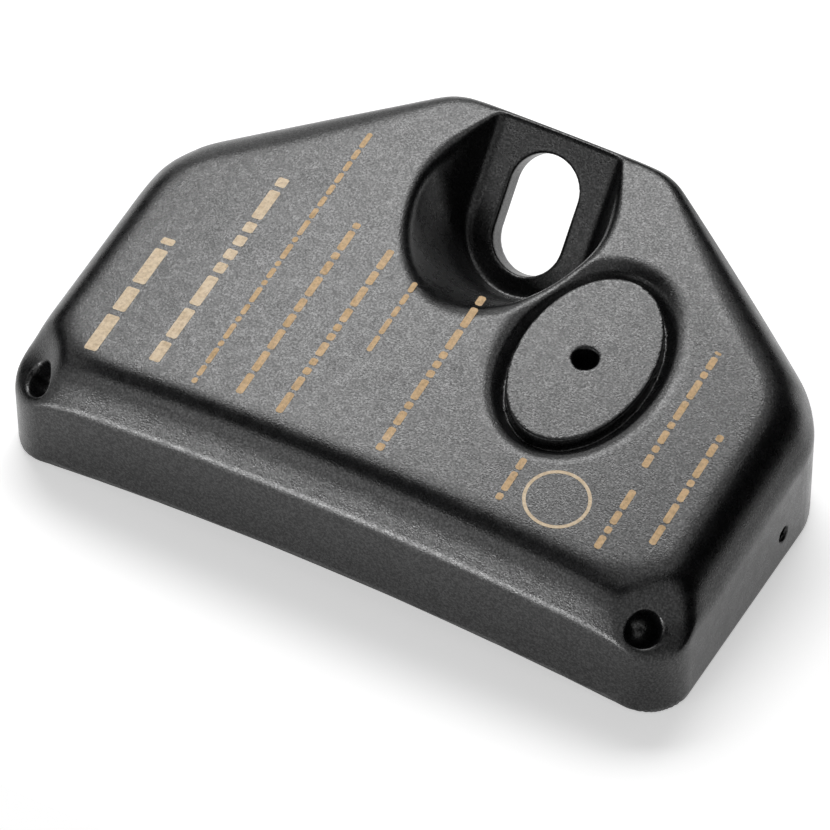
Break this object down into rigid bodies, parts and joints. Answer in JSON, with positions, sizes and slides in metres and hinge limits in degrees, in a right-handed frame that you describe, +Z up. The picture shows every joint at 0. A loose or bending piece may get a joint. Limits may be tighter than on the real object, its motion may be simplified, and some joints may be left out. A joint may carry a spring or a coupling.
{
  "type": "tyre pressure sensor",
  "caption": "Wedge-shaped tyre pressure sensor: arched potted base, sloping slotted screw recess over an open valve pocket, oval island with a pressure port, front corners with scooped blind holes.",
  "frame": {"origin": "bottom centre of the bounding box, in the plane of the two flat lands under the side walls", "axes": "+X along the long front wall, +Y from the front wall to the valve wall, +Z up from the rim"},
  "size_m": [0.054, 0.035, 0.0151],
  "materials": {
    "housing_plastic": "glass-filled, fine grain, mottled",
    "resin": "poured, smooth",
    "board": "solder resist",
    "moulding": "moulded, fine matt",
    "tin": "tinned",
    "steel": "nickel plated",
    "seal": "soft silicone",
    "gasket": "natural nylon",
    "tab_metal": "rolled strip",
    "ferrite": "pressed and sintered",
    "copper": "enamelled wire",
    "gold": "gold flash",
    "ceramic": "fired",
    "capacitor_ceramic": "fired",
    "capacitor_case": "moulded",
    "solder": "reflowed"
  },
  "bodies": {
    "root": {"housing": "housing_plastic", "potting": "resin", "circuit_board": "board", "sensor_package": "moulding", "sensor_leads": "tin", "sensor_lid": "steel", "port_seal": "seal", "battery_can": "steel", "battery_gasket": "gasket", "battery_cap": "steel", "positive_tab": "tab_metal", "negative_tab": "tab_metal", "coil_core": "ferrite", "coil_winding": "copper", "coil_terminals": "tin", "antenna_strip": "gold", "crystal_can": "steel", "crystal_base": "ceramic", "capacitor_bodies": "capacitor_ceramic", "capacitor_ends": "tin", "resistor_bodies": "moulding", "resistor_ends": "tin", "inductor_cores": "ferrite", "inductor_windings": "copper", "buffer_capacitor": "capacitor_case", "buffer_capacitor_ends": "tin", "transistor_body": "moulding", "transistor_leads": "tin", "solder_joints": "solder"}
  },
  "joints": []
}
